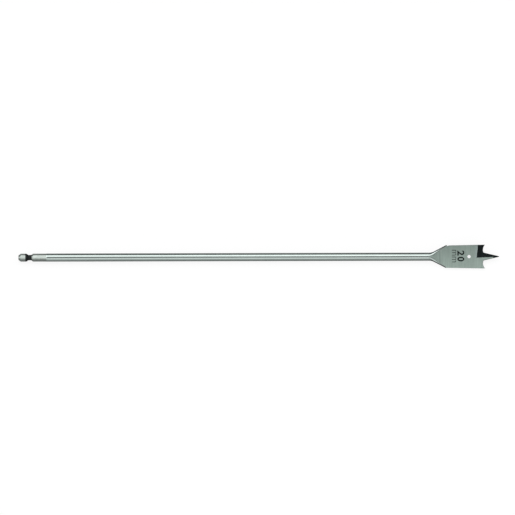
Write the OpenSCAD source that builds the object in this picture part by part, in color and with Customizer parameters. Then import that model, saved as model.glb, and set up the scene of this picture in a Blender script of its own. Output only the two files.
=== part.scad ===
// Long spade bit for boring 20 mm holes in wood, forged and ground from one round steel bar.
// The bit's axis is X, with the shank end at X = 0 and the point at the far end.
// It cuts turning clockwise as seen from the shank, and lies rolled about its axis as it comes to rest.

/* [Overall] */
// Length from the shank end to the point
overall_len = 406; // [300:1:450]
// Diameter of the round bar
bar_d = 6.8; // [6.6:0.05:7.2]

/* [Hex shank] */
// Width across the flats
hex_af = 6.35; // [6.2:0.05:6.4]
// Length of the flats
hex_len = 24; // [20:0.5:32]
// Turn of the flats about the axis, from level with the blade
hex_turn = 15; // [0:1:30]
// Length over which the flats run out into the round bar
runout_len = 0.8; // [0.4:0.1:2]
// Diameter of the end face
nose_d = 3.6; // [2.6:0.1:4.4]
// Length of the taper at the end
nose_len = 1.9; // [1:0.1:3]

/* [Detent groove] */
// Distance of the groove from the shank end
groove_start = 7; // [5:0.1:8]
// Diameter at the bottom of the groove
groove_d = 4.5; // [3.8:0.1:5.2]
// Length of the bottom of the groove
groove_len = 2.7; // [2:0.1:4]
// Length of the slope on the side of the shank end
groove_fall = 1.2; // [0.8:0.1:2.2]
// Length of the slope on the side of the blade
groove_rise = 1.5; // [0.8:0.1:2.4]

/* [Flare] */
// Half angle at which the bar is forged out into the blade
flare_angle = 27.3; // [22:0.1:34]
// Radius between the bar and the flare, seen from above
flare_fillet = 8; // [5:0.5:12]
// Length over which the bar is pressed down to the thickness of the blade
press_len = 10.3; // [8:0.1:12]
// How far ahead of the flare the pressing starts
press_lead = 0.6; // [0:0.1:2]
// Radius of the forged edges at the shoulders
forged_edge_r = 0.85; // [0.2:0.05:0.85]

/* [Blade] */
// Width over the spurs, which is the size of the hole it bores
blade_w = 20; // [18:0.5:24]
// Thickness
blade_t = 2; // [1.8:0.1:2.6]
// Length from the shoulders to the point
blade_len = 45.2; // [42:0.1:52]
// How much narrower each half is at the shoulder than at the spur
back_taper = 0.55; // [0.1:0.05:0.8]
// Diameter of the pull wire hole
hole_d = 2.8; // [2:0.1:5]
// Distance of the hole from the point
hole_back = 25.3; // [23:0.1:28]

/* [Lips and centre point] */
// Length of the centre point, ahead of the lips
point_len = 13.7; // [12:0.1:15]
// Half angle of the centre point
point_angle = 14.5; // [12:0.5:17]
// Radius hollowed into each lip
lip_r = 6.4; // [5.5:0.1:8]
// Distance from the side of the blade to the deepest place of the lip, which leaves the spur
spur_in = 4.1; // [3:0.1:5]
// Radius between the lip and the centre point
root_r = 1; // [0.5:0.1:1.5]
// Clearance angle behind the lips
lip_relief = 12; // [6:0.5:15]
// Clearance angle behind the sides of the centre point
point_relief = 9; // [4:0.5:12]

/* [Face grinding] */
// Radius of the wheel that hollows the face behind each lip
wheel_r = 10; // [8:0.5:16]
// Distance from the point to the back of the hollow, at the axis
hollow_back = 18.8; // [17.5:0.1:20]
// Length of the hollow
hollow_len = 6; // [5:0.1:6.5]
// Angle between the hollow and square across the blade
hollow_skew = 6; // [0:0.5:8]
// Distance from the point to where its ground face starts
face_back = 15.2; // [14.4:0.1:16]
// Angle to the axis of the wall that the grinding leaves
wall_angle = 2.6; // [1:0.1:4]
// How far the grinding goes past the axis at the point
wall_over = 0.1; // [0.05:0.05:0.3]
// Length of the bevels that sharpen the end of the point
tip_len = 5; // [3:0.1:7]
// Thickness at the very end of the point
tip_t = 0.3; // [0.2:0.05:0.6]
// Width at the very end of the point
tip_w = 0.5; // [0.2:0.05:0.8]

/* [Hidden] */
$fn = 96;

// Bar and shank
bar_r = bar_d / 2;
groove_r = groove_d / 2;
groove_in = groove_start + groove_fall;
groove_out = groove_in + groove_len;
groove_end = groove_out + groove_rise;
hex_corner_r = hex_af / 2 / cos(30);
runout_sink = 0.1;
runout_r = hex_af / 2 - runout_sink;
mill_r = bar_d;
mill_end = hex_len + runout_len * (mill_r - bar_r) / (bar_r - runout_r);
// Turn that puts the seam of the turned bar just beside the line that the bit lies on
seam_turn = -11;

// Flare, from the end of the round bar to the shoulders
half_t = blade_t / 2;
shoulder_x = overall_len - blade_len;
shoulder_hw = blade_w / 2 - back_taper;
fillet_dx = flare_fillet * sin(flare_angle);
fillet_hw = bar_r + flare_fillet * (1 - cos(flare_angle));
fillet_end = shoulder_x - (shoulder_hw - fillet_hw) / tan(flare_angle);
fillet_x = fillet_end - fillet_dx;
press_x = fillet_x - press_lead;
overlap = 0.3;
bar_end = press_x - overlap;
seat = 0.03;
stations = 22;
corner_steps = 9;

// Cutting end, with its plans drawn from the point as origin
spur_len = lip_r - sqrt(lip_r ^ 2 - spur_in ^ 2);
front_hw = shoulder_hw + back_taper * blade_len / (blade_len - point_len + spur_len);
lip_centre = [lip_r - point_len * cos(lip_relief), blade_w / 2 - spur_in];
reach = blade_w;
flank_dir = [-cos(point_angle), sin(point_angle)];
flank_out = [sin(point_angle), cos(point_angle)];
flank_start = [0, tip_w / 2];
root_from = flank_start + root_r * flank_out - lip_centre;
root_run = root_from * flank_dir;
root_s = -root_run + sqrt(root_run ^ 2 - root_from * root_from + (lip_r - root_r) ^ 2);
root_foot = flank_start + root_s * flank_dir;
root_centre = root_foot + root_r * flank_out;
root_aim = (root_centre - lip_centre) / norm(root_centre - lip_centre);
hollow_z = half_t + sqrt(wheel_r ^ 2 - (hollow_len / 2) ^ 2);
face_angle = atan((half_t - tip_t / 2) / face_back);
tip_angle = atan((half_t - tip_t / 2) / tip_len);

// Roll about the axis that brings the end of the blade's full thickness level with the bottom of the bar
rest_run = blade_len - hollow_back + blade_w / 2 * tan(hollow_skew);
rest_hw = shoulder_hw + (front_hw - shoulder_hw) * rest_run / blade_len;
rest_roll = asin(bar_r / norm([rest_hw, half_t])) - atan(half_t / rest_hw);

// Half width of the flare at x, a round fillet and then a straight edge
function flare_hw(x) =
    x <= fillet_x ? bar_r
    : x <= fillet_end ? bar_r + flare_fillet - sqrt(flare_fillet ^ 2 - (x - fillet_x) ^ 2)
    : fillet_hw + (x - fillet_end) * tan(flare_angle);

// Share of the pressing still to be done at x, which eases out into the flat of the blade
function unpressed(x) = (1 - min(1, max(0, (x - press_x) / press_len))) ^ 2;

// Section of the flare at x, a rectangle with rounded corners that starts as a circle
function flare_ring(x, sink = 0) =
    let (
        u = unpressed(x),
        hw = min(flare_hw(x), shoulder_hw) - seat * u - sink,
        ht = half_t + (bar_r - seat - half_t) * u - sink,
        cr = forged_edge_r + (bar_r - 2 * seat - forged_edge_r) * u
    )
    [for (quarter = [0:3], i = [0:corner_steps])
        let (a = (quarter + i / corner_steps) * 90)
        [x,
         cr * cos(a) + (hw - cr) * (quarter == 0 || quarter == 3 ? 1 : -1),
         cr * sin(a) + (ht - cr) * (quarter < 2 ? 1 : -1)]];

// The turned bar with its tapered end and detent groove, and the six flats milled on the shank
module bar_and_shank() {
    difference() {
        rotate([0, 90, 0])
            rotate(seam_turn)
                rotate_extrude()
                    polygon([
                        [0, 0],
                        [nose_d / 2, 0],
                        [bar_r, nose_len],
                        [bar_r, groove_start],
                        [groove_r, groove_in],
                        [groove_r, groove_out],
                        [bar_r, groove_end],
                        [bar_r, bar_end],
                        [0, bar_end]
                    ]);
        hex_milling();
    }
}

// What the milling of the flats takes away, with a sloped run-out at its end
module hex_milling() {
    difference() {
        rotate([0, 90, 0])
            rotate(seam_turn)
                rotate_extrude()
                    polygon([
                        [0, -overlap],
                        [mill_r, -overlap],
                        [mill_r, mill_end],
                        [runout_r, hex_len - runout_len],
                        [0, hex_len - runout_len]
                    ]);
        translate([-2 * overlap, 0, 0])
            rotate([0, 90, 0])
                linear_extrude(height = mill_end + 4 * overlap)
                    rotate(30 - hex_turn)
                        circle(r = hex_corner_r, $fn = 6);
    }
}

// The forged flare, lofted from inside the round bar to inside the flat of the blade
module flare() {
    ring = 4 * (corner_steps + 1);
    xs = concat(
        [bar_end - overlap],
        [for (i = [0:stations]) press_x + (shoulder_x - press_x) * i / stations]
    );
    last = len(xs);
    skin = [for (s = [0:last - 1], i = [0:ring - 1])
        let (j = (i + 1) % ring)
        [s * ring + i, (s + 1) * ring + i, (s + 1) * ring + j, s * ring + j]];
    start_cap = [for (i = [0:ring - 1]) i];
    end_cap = [for (i = [ring - 1:-1:0]) last * ring + i];
    polyhedron(
        points = concat([for (x = xs) each flare_ring(x)], flare_ring(shoulder_x + overlap, seat)),
        faces = concat(skin, [start_cap, end_cap]),
        convexity = 4
    );
}

// Plan of what is ground away ahead of one lip and beside the centre point
module lip_plan() {
    difference() {
        union() {
            translate(lip_centre)
                circle(r = lip_r);
            translate([lip_centre.x, lip_centre.y - lip_r])
                square([reach, lip_r * 2]);
        }
        translate(flank_start)
            polygon([
                reach * flank_dir,
                reach * (flank_dir - flank_out),
                -reach * (flank_dir + flank_out),
                -reach * flank_dir
            ]);
        difference() {
            polygon([
                root_centre,
                root_foot,
                root_foot - root_r * flank_out,
                root_centre + root_r * 3 * root_aim,
                root_centre + root_r * root_aim
            ]);
            translate(root_centre)
                circle(r = root_r);
        }
    }
}

// One lip's grinding, sloped for clearance behind its cutting edges
module lip_grinding() {
    rotate([-point_relief, lip_relief, 0])
        linear_extrude(height = reach, center = true)
            lip_plan();
}

// What is ground off a face ahead of a place on the axis, sloping down to the point
module slope_grinding(back, angle) {
    translate([-back, 0, half_t])
        rotate([0, angle, 0])
            translate([0, -reach, 0])
                cube(2 * reach);
}

// Hollow behind one lip and slope on its half of the point, ground into the leading face
module face_grinding() {
    intersection() {
        union() {
            translate([hollow_len / 2 - hollow_back, 0, hollow_z])
                rotate([-90, 0, -hollow_skew])
                    cylinder(r = wheel_r, h = 2 * reach, center = true);
            slope_grinding(face_back, face_angle);
        }
        rotate([0, 0, wall_angle])
            translate([-2 * reach, -wall_over, -reach])
                cube([4 * reach, reach, 4 * reach]);
    }
}

// The flat blade with its lips, spurs, centre point and pull wire hole
module blade() {
    difference() {
        linear_extrude(height = blade_t, center = true)
            polygon([
                [shoulder_x, -shoulder_hw],
                [overall_len, -front_hw],
                [overall_len, front_hw],
                [shoulder_x, shoulder_hw]
            ]);
        for (turn = [0, 180])
            translate([overall_len, 0, 0])
                rotate([turn, 0, 0]) {
                    lip_grinding();
                    face_grinding();
                    slope_grinding(tip_len, tip_angle);
                }
        translate([overall_len - hole_back, 0, 0])
            cylinder(d = hole_d, h = 2 * blade_t, center = true);
    }
}

module spade_bit() {
    color("silver")
        rotate([rest_roll, 0, 0]) {
            bar_and_shank();
            flare();
            blade();
        }
}

spade_bit();
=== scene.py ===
import math

import bmesh
import bpy
from mathutils import Matrix, Vector


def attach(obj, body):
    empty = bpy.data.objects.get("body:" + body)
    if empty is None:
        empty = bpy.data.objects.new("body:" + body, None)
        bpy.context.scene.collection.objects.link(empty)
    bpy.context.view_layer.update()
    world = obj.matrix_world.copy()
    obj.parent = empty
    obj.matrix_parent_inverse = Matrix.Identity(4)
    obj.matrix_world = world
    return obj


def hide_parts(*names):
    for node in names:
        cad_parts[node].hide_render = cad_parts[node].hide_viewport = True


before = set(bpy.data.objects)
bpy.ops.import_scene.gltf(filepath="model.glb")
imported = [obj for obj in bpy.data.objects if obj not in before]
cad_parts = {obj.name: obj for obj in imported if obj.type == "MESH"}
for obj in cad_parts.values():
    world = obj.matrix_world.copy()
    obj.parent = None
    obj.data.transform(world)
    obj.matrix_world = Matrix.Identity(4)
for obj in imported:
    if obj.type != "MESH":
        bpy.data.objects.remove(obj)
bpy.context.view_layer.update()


# The bar and its shank: a drawn round bar of tool steel. Its end is turned to a blunt taper with a
# detent groove, and six flats are milled on it for a quick-change chuck. The bit is drawn in millimetres
# with its blade level and its axis along X from the shank's end, and is rolled and scaled when whole.
bar_r = 3.4
nose_r = 1.8
nose_len = 1.9
groove_r = 2.25
groove_start = 7.0
groove_in = 8.2
groove_out = 10.9
groove_end = 12.4
groove_lip = 0.9
scale_start = groove_start - 1.25
scale_end = groove_out + 0.3
flat_depth = 6.35 / 2
flat_turn = math.radians(15)
flat_end = 23.45
round_start = 24.0
press_start = 346.536
sides_round = 96
half_side = math.pi / sides_round
long_run = 100.0
lengthwise_cuts = 19
near = 0.001
weld_reach = 10 * near
sort_digits = 4

BAR, FLATS, GROOVE, EDGE, BLADE, BURR, LIPS, RELIEF = range(8)


def rings_at(mesh, x):
    return [e for e in mesh.edges if all(abs(v.co.x - x) < near for v in e.verts)]


def cut_faces(mesh, faces, point, facing):
    parts = faces + [e for f in faces for e in f.edges] + [v for f in faces for v in f.verts]
    parts = list(dict.fromkeys(parts))
    bmesh.ops.bisect_plane(mesh, geom=parts, dist=near / 10, plane_co=point, plane_no=facing)


bit = bmesh.new()
turned_profile = [
    (0.0, nose_r),
    (nose_len, bar_r),
    (scale_start, bar_r),
    (groove_start, bar_r),
    (groove_in, groove_r),
    (groove_out, groove_r),
    (groove_end, bar_r),
    (flat_end, bar_r),
    (round_start, bar_r),
    (press_start, bar_r),
]
turned_points = [
    bit.verts.new((x, r * math.cos(half_side), r * math.sin(half_side))) for x, r in turned_profile
]
for here, there in zip(turned_points, turned_points[1:]):
    bit.edges.new((here, there))
bmesh.ops.spin(
    bit,
    geom=bit.verts[:] + bit.edges[:],
    cent=(0, 0, 0),
    axis=(1, 0, 0),
    angle=2 * math.pi,
    steps=sides_round,
    use_merge=True,
)
bmesh.ops.edgeloop_fill(bit, edges=rings_at(bit, 0.0))

turned_edges = [
    (0.0, 0.2, 5),
    (nose_len, 0.4, 5),
    (groove_start, groove_lip, 6),
    (groove_in, 0.35, 5),
    (groove_out, 0.35, 5),
    (groove_end, 0.2, 4),
]
for x, size, steps in turned_edges:
    bmesh.ops.bevel(
        bit,
        geom=rings_at(bit, x),
        offset=size,
        offset_type="OFFSET",
        segments=steps,
        profile=0.5,
        affect="EDGES",
        material=-1,
    )
long_edges = [e for e in bit.edges if abs(e.verts[0].co.x - e.verts[1].co.x) > long_run]
bmesh.ops.subdivide_edges(bit, edges=long_edges, cuts=lengthwise_cuts, use_grid_fill=True)

bit.normal_update()
for f in bit.faces:
    middle_x = f.calc_center_median().x
    if scale_start < middle_x < scale_end:
        f.material_index = GROOVE
    else:
        f.material_index = FLATS if middle_x < flat_end else BAR

for turn in range(6):
    angle = flat_turn + turn * math.pi / 3
    facing = Vector((0, math.sin(angle), math.cos(angle)))
    shank_faces = [f for f in bit.faces if all(v.co.x < flat_end + near for v in f.verts)]
    cut_faces(bit, shank_faces, facing * flat_depth, facing)
    for v in bit.verts:
        proud = v.co.dot(facing) - flat_depth
        if v.co.x < flat_end + near and proud > 0:
            v.co -= facing * proud

# The cuts leave some points close together, which are merged in an order that stays the same.
shank_points = [v for v in bit.verts if v.co.x < flat_end - near]
shank_points.sort(key=lambda v: v.co.to_tuple(sort_digits))
bmesh.ops.remove_doubles(bit, verts=shank_points, dist=weld_reach)


# The flare: the end of the bar forged out between dies, so the round section turns into a flat one with
# rounded edges, which narrow toward the shoulders. It widens through a fillet and then straight, and the
# flat that starts as a tongue on top of the bar is ground with the blade.
overall_len = 406.0
blade_len = 45.2
half_t = 1.0
back_taper = 0.55
spur_hw = 10.0
shoulder = overall_len - blade_len
shoulder_hw = spur_hw - back_taper
flare_angle = math.radians(27.3)
fillet_r = 8.0
fillet_hw = bar_r + fillet_r * (1 - math.cos(flare_angle))
fillet_end = shoulder - (shoulder_hw - fillet_hw) / math.tan(flare_angle)
fillet_start = fillet_end - fillet_r * math.sin(flare_angle)
press_len = 10.3
forged_edge_r = 0.85
flare_steps = 28
top_side = 2 * math.sin(half_side)
land = 0.4


def flare_hw(x):
    if x <= fillet_start:
        return bar_r
    if x <= fillet_end:
        return bar_r + fillet_r - math.sqrt(fillet_r**2 - (x - fillet_start) ** 2)
    return fillet_hw + (x - fillet_end) * math.tan(flare_angle)


def forged_point(x, around):
    unpressed = (1 - min(1, (x - press_start) / press_len)) ** 2
    high = half_t + (bar_r - half_t) * unpressed
    edge_r = forged_edge_r + (bar_r - forged_edge_r) * unpressed
    edge_w = forged_edge_r + (bar_r - forged_edge_r) * (shoulder - x) / (shoulder - press_start)
    quarter = math.floor(around / (math.pi / 2))
    share = (around - quarter * math.pi / 2 - half_side) / (math.pi / 2 - 2 * half_side)
    spread = (quarter + share) * math.pi / 2
    a = spread + (around - spread) * unpressed
    y = edge_w * math.cos(a) + math.copysign(flare_hw(x) - edge_w, math.cos(around))
    z = edge_r * math.sin(a) + math.copysign(high - edge_r, math.sin(around))
    return Vector((x, y, z))


def push_out(rim):
    grown = bmesh.ops.extrude_edge_only(bit, edges=rim)["geom"]
    points = [g for g in grown if isinstance(g, bmesh.types.BMVert)]
    for f in [g for g in grown if isinstance(g, bmesh.types.BMFace)]:
        on_flat = all(abs(math.cos(v[around_of])) < top_side for v in f.verts)
        f.material_index = BLADE if on_flat else EDGE
    new = dict.fromkeys(points)
    edges = [g for g in grown if isinstance(g, bmesh.types.BMEdge)]
    return points, [e for e in edges if all(v in new for v in e.verts)]


around_of = bit.verts.layers.float.new("around")
rim = rings_at(bit, press_start)
for v in dict.fromkeys(v for e in rim for v in e.verts):
    v[around_of] = math.atan2(v.co.z, v.co.y) % (2 * math.pi)
for step in range(1, flare_steps + 1):
    x = press_start + (shoulder - press_start) * step / flare_steps
    points, rim = push_out(rim)
    for v in points:
        v.co = forged_point(x, v[around_of])

# The last ring closes to the sharp corners of the ground blade, a little past the shoulders.
spur_in = 4.1
lip_r = 6.4
point_len = 13.7
spur_len = lip_r - math.sqrt(lip_r**2 - spur_in**2)
side_slope = back_taper / (blade_len - point_len + spur_len)
land_hw = shoulder_hw + land * side_slope
points, rim = push_out(rim)
for v in points:
    v.co = (
        shoulder + land,
        math.copysign(land_hw, math.cos(v[around_of])),
        math.copysign(half_t, math.sin(v[around_of])),
    )
bmesh.ops.remove_doubles(bit, verts=points, dist=near)
bit.verts.layers.float.remove(around_of)


# The blade: the flat of the forging, ground on its faces and sides. Its end is ground to two lips with
# spurs at the sides and a long point between them, each edge with clearance behind it. It is drawn with
# the end of the point as origin, first as an outline half way through the thickness.
lip_relief = math.radians(12)
point_relief = math.radians(9)
point_angle = math.radians(14.5)
tip_w = 0.5
root_r = 1.0
lip_centre = Vector((lip_r - point_len * math.cos(lip_relief), spur_hw - spur_in, 0))
flank_start = Vector((0, tip_w / 2, 0))
flank_way = Vector((-math.cos(point_angle), math.sin(point_angle), 0))
flank_out = Vector((math.sin(point_angle), math.cos(point_angle), 0))
root_from = flank_start + root_r * flank_out - lip_centre
root_run = root_from.dot(flank_way)
root_reach = math.sqrt(root_run**2 - root_from.length_squared + (lip_r - root_r) ** 2) - root_run
root_centre = flank_start + root_reach * flank_way + root_r * flank_out
arc_from = math.radians(128)
arc_to = math.atan2(root_centre.y - lip_centre.y, root_centre.x - lip_centre.x) % (2 * math.pi)
root_to = math.pi + math.atan2(flank_out.y, flank_out.x)
lip_steps = 18
root_steps = 8
side_spare = 2.0
facing_limit = 0.9

blade = bmesh.new()
outer = Vector((math.cos(arc_from), math.sin(arc_from), 0))
lip_start = blade.verts.new(lip_centre + lip_r * outer)
lip_arc = bmesh.ops.spin(
    blade, geom=[lip_start], cent=lip_centre, axis=(0, 0, 1), angle=arc_to - arc_from, steps=lip_steps
)
root_arc = bmesh.ops.spin(
    blade,
    geom=lip_arc["geom_last"],
    cent=root_centre,
    axis=(0, 0, 1),
    angle=root_to - arc_to,
    steps=root_steps,
)
flank_foot = root_arc["geom_last"][0]
tip = blade.verts.new(flank_start)
blade.edges.new((flank_foot, tip))

tilt = Matrix.Rotation(lip_relief, 4, "Y") @ Matrix.Rotation(-point_relief, 4, "X")
lean = tilt.to_3x3() @ Vector((0, 0, 1))
lean = lean / lean.z
flatten = Matrix(((1, 0, -lean.x, 0), (0, 1, -lean.y, 0), (0, 0, 0, 0), (0, 0, 0, 1)))
bmesh.ops.transform(blade, matrix=flatten @ tilt, verts=blade.verts[:])
flank_slope = (flank_foot.co.y - tip.co.y) / (tip.co.x - flank_foot.co.x)
tip_lean = Vector((0, lean.y + lean.x * flank_slope, 1))

other = bmesh.ops.duplicate(blade, geom=blade.verts[:] + blade.edges[:])
other_points = [g for g in other["geom"] if isinstance(g, bmesh.types.BMVert)]
bmesh.ops.scale(blade, vec=(1, -1, 1), verts=other_points)
blade_back = shoulder + land - overall_len
back_up = blade.verts.new((blade_back, spur_hw + side_spare, 0))
back_low = blade.verts.new((blade_back, -spur_hw - side_spare, 0))
closing = [
    (tip, other["vert_map"][tip]),
    (other["vert_map"][lip_start], back_low),
    (back_low, back_up),
    (back_up, lip_start),
]
for pair in closing:
    blade.edges.new(pair)
plan = bmesh.ops.contextual_create(blade, geom=blade.edges[:])["faces"]
low_points = blade.verts[:]
upper = bmesh.ops.extrude_face_region(blade, geom=plan)["geom"]
high_points = [g for g in upper if isinstance(g, bmesh.types.BMVert)]


def lean_at(x, y):
    if x > -near:
        return tip_lean
    if x < blade_back + near:
        return Vector((0, 0, 1))
    return Vector((math.copysign(lean.x, y), lean.y, 1))


for points, way in ((high_points, half_t), (low_points, -half_t)):
    for v in points:
        v.co += way * lean_at(v.co.x, v.co.y)
bmesh.ops.recalc_face_normals(blade, faces=blade.faces[:])
for f in blade.faces:
    on_face_or_back = abs(f.normal.z) > facing_limit or f.normal.x < -facing_limit
    f.material_index = BLADE if on_face_or_back else RELIEF

side_angle = math.atan(side_slope)
for way in (1, -1):
    everything = blade.verts[:] + blade.edges[:] + blade.faces[:]
    bmesh.ops.bisect_plane(
        blade,
        geom=everything,
        dist=near / 10,
        plane_co=(-blade_len, way * shoulder_hw, 0),
        plane_no=(-math.sin(side_angle), way * math.cos(side_angle), 0),
        clear_outer=True,
    )
    open_edges = [e for e in blade.edges if e.is_boundary]
    for f in bmesh.ops.holes_fill(blade, edges=open_edges, sides=0)["faces"]:
        f.material_index = BLADE
bmesh.ops.recalc_face_normals(blade, faces=blade.faces[:])

# The pull wire hole, drilled through the flat.
hole_x = -25.3
hole_r = 1.4
hole_land = 2.4
hole_cuts = 7
hole_inset = 0.5
for x in (hole_x - hole_land, hole_x + hole_land):
    both_faces = [f for f in blade.faces if abs(f.normal.z) > facing_limit]
    cut_faces(blade, both_faces, (x, 0, 0), (1, 0, 0))
for y in (-hole_land, hole_land):
    strip = [
        f
        for f in blade.faces
        if abs(f.normal.z) > facing_limit and abs(f.calc_center_median().x - hole_x) < hole_land / 2
    ]
    cut_faces(blade, strip, (0, y, 0), (0, 1, 0))
hole_rims = []
for way in (1, -1):
    middle = Vector((hole_x, 0, way * half_t))
    square = min(
        (f for f in blade.faces if f.normal.z * way > facing_limit),
        key=lambda f: (f.calc_center_median() - middle).length,
    )
    bmesh.ops.subdivide_edges(blade, edges=square.edges[:], cuts=hole_cuts)
    bmesh.ops.inset_region(blade, faces=[square], thickness=hole_inset)
    corner_turn = math.pi / 4 + near
    around_hole = sorted(
        square.verts, key=lambda v: (math.atan2(v.co.y, v.co.x - hole_x) + corner_turn) % (2 * math.pi)
    )
    for i, v in enumerate(around_hole):
        a = 2 * math.pi * i / len(around_hole) - math.pi / 4
        v.co = middle + Vector((hole_r * math.cos(a), hole_r * math.sin(a), 0))
    hole_rims += square.edges[:]
    bmesh.ops.delete(blade, geom=[square], context="FACES_ONLY")
for f in bmesh.ops.bridge_loops(blade, edges=hole_rims)["faces"]:
    f.material_index = BLADE

# The leading face of each half is ground back with a wheel, which hollows it behind the lip and slopes
# it to the end of the point, and leaves a low wall along the axis. The end of the point is bevelled, and
# the wheel leaves a bright worn strip behind the hollow.
wheel_r = 10.0
hollow_back = 18.8
hollow_len = 6.0
hollow_skew = math.radians(6)
hollow_middle = hollow_len / 2 - hollow_back
hollow_z = half_t + math.sqrt(wheel_r**2 - (hollow_len / 2) ** 2)
hollow_strips = 10
hollow_start = -hollow_len / 2
crease = 2.6
burr_w = 1.8
face_back = 15.2
tip_len = 5.0
tip_half_t = 0.15
wall_angle = math.radians(2.6)
wall_over = 0.1
wall_draft = 0.12
face_fall = (half_t - tip_half_t) / face_back
tip_fall = (half_t - tip_half_t) / tip_len
wall_way = Vector((-math.sin(wall_angle), math.cos(wall_angle), 0))
wheel_way = Vector((math.cos(hollow_skew), -math.sin(hollow_skew), 0))


def past_wall(x, y):
    return wall_way.x * x + wall_way.y * y + wall_over


def along_hollow(x, y):
    return wheel_way.x * (x - hollow_middle) + wheel_way.y * y


def ground_half_t(x, y):
    bevelled = half_t - max(0, x + tip_len) * tip_fall
    if past_wall(x, y) < wall_draft - near:
        return bevelled
    sloped = half_t - max(0, x + face_back) * face_fall
    s = along_hollow(x, y)
    hollowed = hollow_z - math.sqrt(wheel_r**2 - s**2) if abs(s) <= hollow_len / 2 else half_t
    return min(bevelled, sloped, hollowed)


for way in (1, -1):
    flip = Vector((1, way, way))

    def on_face(ground):
        found = []
        for f in blade.faces:
            m = f.calc_center_median()
            if f.normal.z * way > facing_limit and m.x > hole_x + hole_land:
                if ground is None or (past_wall(m.x, m.y * way) > 0) == ground:
                    found.append(f)
        return found

    for draft in (0, wall_draft):
        point = wall_way * (draft - wall_over)
        cut_faces(blade, on_face(None), point * flip, wall_way * flip)
    strip_w = (crease - hollow_start) / hollow_strips
    hollow_cuts = [hollow_start + strip_w * i for i in range(hollow_strips + 1)]
    for s in [hollow_start - burr_w] + hollow_cuts:
        point = Vector((hollow_middle, 0, 0)) + wheel_way * s
        cut_faces(blade, on_face(True), point * flip, wheel_way * flip)
    cut_faces(blade, on_face(False), (-tip_len, 0, 0), (1, 0, 0))

    face_points = dict.fromkeys(v for f in on_face(None) for v in f.verts)
    for f in on_face(None):
        m = f.calc_center_median()
        s = along_hollow(m.x, m.y * way)
        ground_side = past_wall(m.x, m.y * way) > 0
        if (ground_side and s > hollow_start) or m.x > -tip_len:
            f.material_index = LIPS
        elif ground_side and s > hollow_start - burr_w:
            f.material_index = BURR
    for v in face_points:
        x, y = v.co.x, v.co.y * way
        ground_off = half_t - ground_half_t(x, y)
        if ground_off > 0:
            on_edge = any(f.material_index == RELIEF for f in v.link_faces) or x > -near
            v.co -= ground_off * (lean_at(x, y) if on_edge else Vector((0, 0, 1))) * flip

# Cuts across the blade near the shoulders, for the ear that the forging left on one of them.
ear_cuts = (-44.5, -44.1, -43.7, -43.3, -42.9, -42.4, -41.6)
for x in ear_cuts:
    behind_hole = [f for f in blade.faces if f.calc_center_median().x < hole_x]
    cut_faces(blade, behind_hole, (x, 0, 0), (1, 0, 0))

back_face = min(blade.faces, key=lambda f: f.calc_center_median().x)
bmesh.ops.delete(blade, geom=[back_face], context="FACES_ONLY")
bmesh.ops.translate(blade, vec=(overall_len, 0, 0), verts=blade.verts[:])

# Bar, flare and blade are one piece of steel, so their meshes are joined into one skin. The ear is
# pushed out at one shoulder with a dip beside it, and the bit is rolled as it comes to rest on the bar
# and one side of its blade, and brought to metres.
blade_mesh = bpy.data.meshes.new("blade")
blade.to_mesh(blade_mesh)
blade.free()
bit.from_mesh(blade_mesh)
bpy.data.meshes.remove(blade_mesh)
bmesh.ops.remove_doubles(bit, verts=bit.verts[:], dist=near / 4)
bmesh.ops.recalc_face_normals(bit, faces=bit.faces[:])

ear_x = 361.4
ear_w = 0.5
ear_out = 0.5
dip_x = 362.5
dip_w = 0.7
dip_in = 0.5
ear_run = 6.0
ear_depth = 2 * forged_edge_r
for v in bit.verts:
    if v.co.y > shoulder_hw - ear_depth and abs(v.co.x - shoulder) < ear_run:
        ear = ear_out * math.exp(-(((v.co.x - ear_x) / ear_w) ** 2))
        dip = dip_in * math.exp(-(((v.co.x - dip_x) / dip_w) ** 2))
        v.co.y += ear - dip

for f in bit.faces:
    on_land = shoulder < f.calc_center_median().x < shoulder + land
    f.smooth = not on_land or f.material_index == BLADE

mm = 0.001
crease_angle = math.radians(13)
rest_hw = shoulder_hw + (blade_len - hollow_back + spur_hw * math.tan(hollow_skew)) * side_slope
rest_roll = math.asin(bar_r / math.hypot(rest_hw, half_t)) - math.atan(half_t / rest_hw)
to_rest = Matrix.Rotation(rest_roll, 4, "X") @ Matrix.Scale(mm, 4)
bmesh.ops.transform(bit, matrix=to_rest, verts=bit.verts[:])

bit_mesh = bpy.data.meshes.new("forged_bit")
bit.to_mesh(bit_mesh)
bit.free()
bit_mesh.set_sharp_from_angle(angle=crease_angle)
forged_bit = bpy.data.objects.new("forged_bit", bit_mesh)
bpy.context.scene.collection.objects.link(forged_bit)
even_shading = forged_bit.modifiers.new("even_shading", "WEIGHTED_NORMAL")
even_shading.keep_sharp = True


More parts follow.
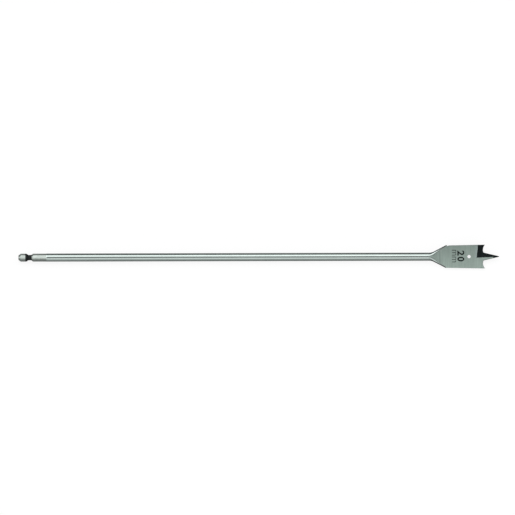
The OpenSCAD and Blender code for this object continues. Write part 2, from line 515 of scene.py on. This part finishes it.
# The finishes of the steel: drawn bar with fine lines along it, milled flats, a groove black with scale,
# a blade ground crosswise, and ground lips painted near black, a painted dark reflection. Each has a
# plain colour and a pattern over it, and the patterns are laid out in the bit's own level frame.
class Finish:
    def __init__(self, name, colour, roughness, metallic=1.0, edge_tint=1.0):
        self.material = bpy.data.materials.new(name)
        self.material.use_nodes = True
        self.nodes = self.material.node_tree.nodes
        self.links = self.material.node_tree.links
        self.shader = self.nodes["Principled BSDF"]
        self.shader.inputs["Base Color"].default_value = (*colour, 1)
        self.shader.inputs["Roughness"].default_value = roughness
        self.shader.inputs["Metallic"].default_value = metallic
        self.shader.inputs["Specular Tint"].default_value = (edge_tint, edge_tint, edge_tint, 1)
        coords = self.nodes.new("ShaderNodeTexCoord")
        level = self.nodes.new("ShaderNodeMapping")
        level.inputs["Rotation"].default_value = (-rest_roll, 0, 0)
        self.links.new(coords.outputs["Object"], level.inputs["Vector"])
        self.place = level.outputs["Vector"]
        split = self.nodes.new("ShaderNodeSeparateXYZ")
        self.links.new(self.place, split.inputs["Vector"])
        self.along = split.outputs["X"]
        self.across = split.outputs["Y"]

    def lines(self, per_metre, detail=3.0, fading=0.55):
        stretch = self.nodes.new("ShaderNodeMapping")
        stretch.inputs["Scale"].default_value = per_metre
        noise = self.nodes.new("ShaderNodeTexNoise")
        noise.inputs["Scale"].default_value = 1.0
        noise.inputs["Detail"].default_value = detail
        noise.inputs["Roughness"].default_value = fading
        self.links.new(self.place, stretch.inputs["Vector"])
        self.links.new(stretch.outputs["Vector"], noise.inputs["Vector"])
        return noise.outputs["Fac"]

    def spread(self, value, low, high, start=0.3, end=0.7):
        node = self.nodes.new("ShaderNodeMapRange")
        node.inputs["From Min"].default_value = start
        node.inputs["From Max"].default_value = end
        node.inputs["To Min"].default_value = low
        node.inputs["To Max"].default_value = high
        self.links.new(value, node.inputs["Value"])
        return node.outputs["Result"]

    def away(self, value, middle):
        offset = self.nodes.new("ShaderNodeMath")
        offset.operation = "SUBTRACT"
        offset.inputs[1].default_value = middle
        self.links.new(value, offset.inputs[0])
        distance = self.nodes.new("ShaderNodeMath")
        distance.operation = "ABSOLUTE"
        self.links.new(offset.outputs["Value"], distance.inputs[0])
        return distance.outputs["Value"]

    def slanted(self, slope):
        node = self.nodes.new("ShaderNodeMath")
        node.operation = "MULTIPLY_ADD"
        node.inputs[1].default_value = -slope
        self.links.new(self.away(self.across, 0), node.inputs[0])
        self.links.new(self.along, node.inputs[2])
        return node.outputs["Value"]

    def most(self, one, other):
        node = self.nodes.new("ShaderNodeMath")
        node.operation = "MAXIMUM"
        self.links.new(one, node.inputs[0])
        self.links.new(other, node.inputs[1])
        return node.outputs["Value"]

    def tint(self, value, dark, light, start=0.3, end=0.7):
        node = self.nodes.new("ShaderNodeMix")
        node.data_type = "RGBA"
        node.inputs["A"].default_value = (*dark, 1)
        node.inputs["B"].default_value = (*light, 1)
        self.links.new(self.spread(value, 0, 1, start, end), node.inputs["Factor"])
        return node.outputs["Result"]

    def times(self, colour, *values):
        for value in values:
            node = self.nodes.new("ShaderNodeVectorMath")
            node.operation = "SCALE"
            self.links.new(colour, node.inputs["Vector"])
            self.links.new(value, node.inputs["Scale"])
            colour = node.outputs["Vector"]
        return colour

    def bump(self, value, depth):
        node = self.nodes.new("ShaderNodeBump")
        node.inputs["Distance"].default_value = depth
        self.links.new(value, node.inputs["Height"])
        self.links.new(node.outputs["Normal"], self.shader.inputs["Normal"])

    def set(self, socket, value):
        self.links.new(value, self.shader.inputs[socket])


def drawn_steel(name):
    finish = Finish(name, (0.42, 0.48, 0.458), 0.17, edge_tint=0.2)
    lines = finish.lines((25, 5000, 5000))
    blotches = finish.lines((60, 250, 250), detail=4.0)
    blotched = finish.tint(blotches, (0.4, 0.458, 0.437), (0.436, 0.496, 0.474))
    finish.bump(lines, 0.000003)
    return finish, lines, finish.times(blotched, finish.spread(lines, 0.95, 1.05))


drawn, draw_lines, drawn_colour = drawn_steel("drawn_bar")
drawn.set("Base Color", drawn_colour)
drawn.set("Roughness", drawn.spread(draw_lines, 0.12, 0.22))

# The flat on the far side is painted brighter than the others, a painted highlight.
highlight_from = 2.35 * mm
highlight_to = 2.7 * mm
milled = Finish("milled_flats", (0.335, 0.372, 0.35), 0.2)
mill_lines = milled.lines((4000, 120, 120))
mill_blotches = milled.lines((350, 500, 500), detail=4.0)
milled_colour = milled.tint(mill_lines, (0.315, 0.352, 0.33), (0.355, 0.392, 0.37))
mill_stains = milled.spread(mill_blotches, 0.86, 1.1)
# Painted highlight: the far flat's colour is brightened up to 1.9 times.
painted_highlight = milled.spread(milled.across, 1.0, 1.9, highlight_from, highlight_to)
milled.set("Base Color", milled.times(milled_colour, mill_stains, painted_highlight))
milled.set("Roughness", milled.spread(mill_lines, 0.15, 0.25))
milled.bump(mill_lines, 0.000003)

scaled = Finish("black_groove", (0.02, 0.022, 0.022), 0.5)
scale_grain = scaled.lines((2500, 2500, 2500), detail=4.0)
scaled.set("Base Color", scaled.tint(scale_grain, (0.012, 0.014, 0.014), (0.035, 0.038, 0.038)))
scaled.set("Roughness", scaled.spread(scale_grain, 0.42, 0.62))
scaled.bump(scale_grain, 0.00001)

# A black band is painted along the flare's edges, a painted dark reflection line, and the band is
# rougher there;
# it sets in a little past the start of the flare.
black = 0.08
band_w = 0.85 * mm
band_soft = 0.3 * mm
onset_start = (press_start + 0.6) * mm
onset_end = (press_start + 2.8) * mm
edge_slope = 1 / math.tan(flare_angle)
edge_at = (fillet_end - fillet_hw * edge_slope) * mm
band_end = edge_at + band_w / math.sin(flare_angle)
forged, _, forged_colour = drawn_steel("forged_edge")
band = forged.spread(forged.slanted(edge_slope), black, 1.0, band_end - band_soft, band_end + band_soft)
onset = forged.spread(forged.along, 1.0, black, onset_start, onset_end)
# Painted dark reflection: the band and its onset darken the flare's edges.
painted_dark_edge = forged.most(band, onset)
forged.set("Base Color", forged.times(forged_colour, painted_dark_edge))
forged.set("Roughness", forged.spread(painted_dark_edge, 0.4, 0.17, black, 1.0))

# The ground faces have crosswise grinding lines and painted shade that makes them darker toward the far
# side and at their edges, and they carry a press mark across the flare, a few stains and the worn strip
# beside the hollow.
press_mark_x = 355.9 * mm
press_mark_w = 0.8 * mm
edge_shade_from = 9.1 * mm
edge_shade_to = 9.6 * mm
far_side = 10 * mm
point_from = 380 * mm
point_to = 395 * mm
strip_start = (overall_len + hollow_middle + (hollow_start - burr_w) / math.cos(hollow_skew)) * mm
strip_end = strip_start + burr_w * mm


def ground_steel(name, dark, light, roughness, strip_gain=1.0):
    finish = Finish(name, light, roughness)
    fine = finish.lines((1400, 35, 35), detail=4.0, fading=0.6)
    broad = finish.lines((260, 15, 15), detail=2.0)
    hair = finish.lines((9000, 60, 60), detail=2.0)
    specks = finish.lines((700, 500, 500), detail=2.0)
    past_hollow = finish.slanted(math.tan(hollow_skew))
    colour = finish.times(
        finish.tint(broad, dark, light),
        finish.spread(fine, 0.92, 1.08),
        finish.spread(hair, 0.88, 1.12),
        # Painted shade: darker toward the far side across the face.
        finish.spread(finish.across, 1.13, 0.87, -far_side, far_side),
        finish.spread(finish.along, 1.0, 1.04, point_from, point_to),
        finish.spread(finish.away(finish.along, press_mark_x), 0.78, 1.0, 0, press_mark_w),
        # Painted shade: darker at the side edges.
        finish.spread(finish.away(finish.across, 0), 1.0, 0.8, edge_shade_from, edge_shade_to),
        finish.spread(past_hollow, 1.0, strip_gain, strip_start, strip_end),
        finish.spread(specks, 1.0, 0.85, 0.68, 0.76),
    )
    finish.set("Base Color", colour)
    finish.set("Roughness", finish.spread(hair, roughness - 0.08, roughness + 0.08))
    finish.bump(hair, 0.000004)
    return finish


ground = ground_steel("cross_ground_blade", (0.305, 0.375, 0.34), (0.335, 0.41, 0.372), 0.5)
burr = ground_steel("bright_strip", (0.305, 0.37, 0.35), (0.335, 0.405, 0.385), 0.48, strip_gain=1.2)
relief = ground_steel("ground_relief", (0.24, 0.28, 0.26), (0.3, 0.34, 0.32), 0.36)

# The lips are painted near black, a painted dark reflection.
lips = Finish("lips_painted_dark_reflection", (0.018, 0.024, 0.024), 0.38)
lip_lines = lips.lines((1400, 60, 60), detail=4.0)
lips.set("Base Color", lips.tint(lip_lines, (0.012, 0.017, 0.017), (0.022, 0.029, 0.029)))
lips.set("Roughness", lips.spread(lip_lines, 0.32, 0.45))
lips.bump(lip_lines, 0.000005)

for finish in (drawn, milled, scaled, forged, ground, burr, lips, relief):
    bit_mesh.materials.append(finish.material)
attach(forged_bit, "root")
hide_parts("spade_bit")


# The size mark: the width in millimetres, etched into the flat in plain sans letters that read across
# the blade, the figures dark and the letters under them thin and faint. It is a film a few hundredths of
# a millimetre thick, bedded in the face. Each word has its reach along and across, a weight and an ink.
mark_film = 0.03
mark_proud = 0.012
letter_depth = 1.0
letter_curve_steps = 8
DARK, FAINT = range(2)
mark_words = [
    ("2", 370.8, 376.7, 5.1, 0.9, 0.03, DARK),
    ("0", 370.8, 376.7, -0.1, -4.1, 0.03, DARK),
    ("mm", 366.3, 369.8, 5.7, -4.8, -0.006, FAINT),
]
mark = bmesh.new()
for words, low_x, high_x, first_y, last_y, weight, ink in mark_words:
    letters = bpy.data.curves.new("letters", "FONT")
    letters.body = words
    letters.resolution_u = letter_curve_steps
    letters.offset = weight
    letters.extrude = letter_depth / 2
    lettering = bpy.data.objects.new("lettering", letters)
    bpy.context.scene.collection.objects.link(lettering)
    bpy.context.view_layer.update()
    solid = bpy.data.meshes.new_from_object(lettering)
    bpy.data.objects.remove(lettering)
    bpy.data.curves.remove(letters)
    reach_x = [v.co.x for v in solid.vertices]
    reach_y = [v.co.y for v in solid.vertices]
    across = (last_y - first_y) / (max(reach_x) - min(reach_x))
    along = (high_x - low_x) / (max(reach_y) - min(reach_y))
    lay = Matrix(
        (
            (0, along, 0, low_x - along * min(reach_y)),
            (across, 0, 0, first_y - across * min(reach_x)),
            (0, 0, mark_film / letter_depth, half_t + mark_proud - mark_film / 2),
            (0, 0, 0, 1),
        )
    )
    solid.transform(lay)
    mark_so_far = len(mark.faces)
    mark.from_mesh(solid)
    mark.faces.ensure_lookup_table()
    for f in mark.faces[mark_so_far:]:
        f.material_index = ink
    bpy.data.meshes.remove(solid)
bmesh.ops.remove_doubles(mark, verts=mark.verts[:], dist=near / 10)
bmesh.ops.transform(mark, matrix=to_rest, verts=mark.verts[:])
bmesh.ops.recalc_face_normals(mark, faces=mark.faces[:])
mark_mesh = bpy.data.meshes.new("size_mark")
mark.to_mesh(mark_mesh)
mark.free()
size_mark = bpy.data.objects.new("size_mark", mark_mesh)
bpy.context.scene.collection.objects.link(size_mark)


def etched_ink(name, dark, light):
    finish = Finish(name, light, 0.6, metallic=0.0)
    finish.shader.inputs["Specular IOR Level"].default_value = 0.1
    grain = finish.lines((3000, 3000, 3000))
    finish.set("Base Color", finish.tint(grain, dark, light))
    finish.set("Roughness", finish.spread(grain, 0.5, 0.7))
    return finish.material


mark_mesh.materials.append(etched_ink("etched_figures", (0.006, 0.009, 0.008), (0.016, 0.022, 0.02)))
mark_mesh.materials.append(etched_ink("faint_letters", (0.03, 0.038, 0.034), (0.055, 0.068, 0.062)))
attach(size_mark, "root")


# The stage: a wide pale floor that the bit lies on. It shows nearly white to the camera and a little of
# that white in the steel, and the rest of what it shows is lit, so it keeps the bit's soft shadow.
floor_r = 3.0
white_to_camera = 0.88
white_in_gloss = 0.15
floor = bmesh.new()
bmesh.ops.create_circle(floor, cap_ends=True, radius=floor_r, segments=64)
bmesh.ops.translate(floor, vec=(overall_len / 2 * mm, 0, -bar_r * mm), verts=floor.verts[:])
floor_mesh = bpy.data.meshes.new("floor")
floor.to_mesh(floor_mesh)
floor.free()
floor_piece = bpy.data.objects.new("floor", floor_mesh)
bpy.context.scene.collection.objects.link(floor_piece)
paper = bpy.data.materials.new("pale_paper")
paper.use_nodes = True
paper_nodes = paper.node_tree.nodes
paper_links = paper.node_tree.links
paper_nodes.clear()
rays = paper_nodes.new("ShaderNodeLightPath")
paper_colour = paper_nodes.new("ShaderNodeMix")
paper_colour.data_type = "RGBA"
paper_colour.inputs["A"].default_value = (0.3, 0.3, 0.3, 1)
paper_colour.inputs["B"].default_value = (0.93, 0.93, 0.93, 1)
shade = paper_nodes.new("ShaderNodeBsdfDiffuse")
white = paper_nodes.new("ShaderNodeEmission")
white.inputs["Strength"].default_value = 1.0
seen_white = paper_nodes.new("ShaderNodeMath")
seen_white.operation = "MULTIPLY"
seen_white.inputs[1].default_value = white_to_camera
in_gloss = paper_nodes.new("ShaderNodeMath")
in_gloss.operation = "MAXIMUM"
gloss_white = paper_nodes.new("ShaderNodeMath")
gloss_white.operation = "MULTIPLY_ADD"
gloss_white.inputs[1].default_value = white_in_gloss
blend = paper_nodes.new("ShaderNodeMixShader")
paper_out = paper_nodes.new("ShaderNodeOutputMaterial")
paper_links.new(rays.outputs["Is Camera Ray"], paper_colour.inputs["Factor"])
paper_links.new(paper_colour.outputs["Result"], shade.inputs["Color"])
paper_links.new(rays.outputs["Is Camera Ray"], seen_white.inputs[0])
paper_links.new(rays.outputs["Is Glossy Ray"], in_gloss.inputs[0])
paper_links.new(rays.outputs["Is Transmission Ray"], in_gloss.inputs[1])
paper_links.new(in_gloss.outputs["Value"], gloss_white.inputs[0])
paper_links.new(seen_white.outputs["Value"], gloss_white.inputs[2])
paper_links.new(gloss_white.outputs["Value"], blend.inputs["Fac"])
paper_links.new(shade.outputs["BSDF"], blend.inputs[1])
paper_links.new(white.outputs["Emission"], blend.inputs[2])
paper_links.new(blend.outputs["Shader"], paper_out.inputs["Surface"])
floor_mesh.materials.append(paper)


# The light: a studio of long soft panels beside the bit, brighter on the far side, with a dark gap above
# it and dark walls low down. It is painted on the world by the angle about the bit's axis, in degrees
# from square above the blade, and dims from the shank's end to the point's.
world = bpy.data.worlds.new("studio")
bpy.context.scene.world = world
world.use_nodes = True
studio = world.node_tree.nodes
studio_links = world.node_tree.links
sky = studio["Background"]
studio_strength = 2.1
sky.inputs["Strength"].default_value = studio_strength
direction = studio.new("ShaderNodeTexCoord")
level_sky = studio.new("ShaderNodeVectorRotate")
level_sky.rotation_type = "X_AXIS"
level_sky.inputs["Angle"].default_value = -rest_roll
split = studio.new("ShaderNodeSeparateXYZ")
about_axis = studio.new("ShaderNodeMath")
about_axis.operation = "ARCTAN2"
to_share = studio.new("ShaderNodeMapRange")
to_share.inputs["From Min"].default_value = -math.pi
to_share.inputs["From Max"].default_value = math.pi
panels = studio.new("ShaderNodeValToRGB")
panel_levels = [
    (-180, 0.62),
    (-80, 0.62),
    (-76, 0.2),
    (-62, 0.38),
    (-50, 0.52),
    (-42, 0.6),
    (-20, 0.62),
    (-13, 0.3),
    (-6, 0.12),
    (10, 0.1),
    (17, 0.3),
    (24, 0.85),
    (30, 1.0),
    (62, 1.0),
    (70, 0.5),
    (76, 0.06),
    (104, 0.05),
    (108, 0.62),
    (180, 0.62),
]
ramp = panels.color_ramp
while len(ramp.elements) < len(panel_levels):
    ramp.elements.new(0.5)
for element, (degrees, level) in zip(ramp.elements, panel_levels):
    element.position = (degrees + 180) / 360
    element.color = (level, level, level, 1)
ends = studio.new("ShaderNodeMapRange")
ends.inputs["From Min"].default_value = -0.9
ends.inputs["From Max"].default_value = 0.9
ends.inputs["To Min"].default_value = 1.2
ends.inputs["To Max"].default_value = 0.8
dim_ends = studio.new("ShaderNodeVectorMath")
dim_ends.operation = "SCALE"
studio_links.new(direction.outputs["Generated"], level_sky.inputs["Vector"])
studio_links.new(level_sky.outputs["Vector"], split.inputs["Vector"])
studio_links.new(split.outputs["Y"], about_axis.inputs[0])
studio_links.new(split.outputs["Z"], about_axis.inputs[1])
studio_links.new(about_axis.outputs["Value"], to_share.inputs["Value"])
studio_links.new(to_share.outputs["Result"], panels.inputs["Fac"])
studio_links.new(split.outputs["X"], ends.inputs["Value"])
studio_links.new(panels.outputs["Color"], dim_ends.inputs["Vector"])
studio_links.new(ends.outputs["Result"], dim_ends.inputs["Scale"])
studio_links.new(dim_ends.outputs["Vector"], sky.inputs["Color"])


# The camera: square to the blade's face, as in the photo, with the bit level across the frame.
photo_w = 515
mm_per_pixel = 0.8448
view_width = photo_w * mm_per_pixel * mm
view_middle = Vector((201.97, -0.35, 0))
view_roll = math.radians(-0.136)
view_height = Vector((0, 0, 1))
lens = bpy.data.cameras.new("camera")
lens.type = "ORTHO"
lens.ortho_scale = view_width
camera = bpy.data.objects.new("camera", lens)
bpy.context.scene.collection.objects.link(camera)
square_on = Matrix.Rotation(rest_roll, 4, "X")
above = Matrix.Translation(view_middle * mm + view_height)
camera.matrix_world = square_on @ above @ Matrix.Rotation(view_roll, 4, "Z")
bpy.context.scene.camera = camera
bpy.context.scene.view_settings.view_transform = "Standard"
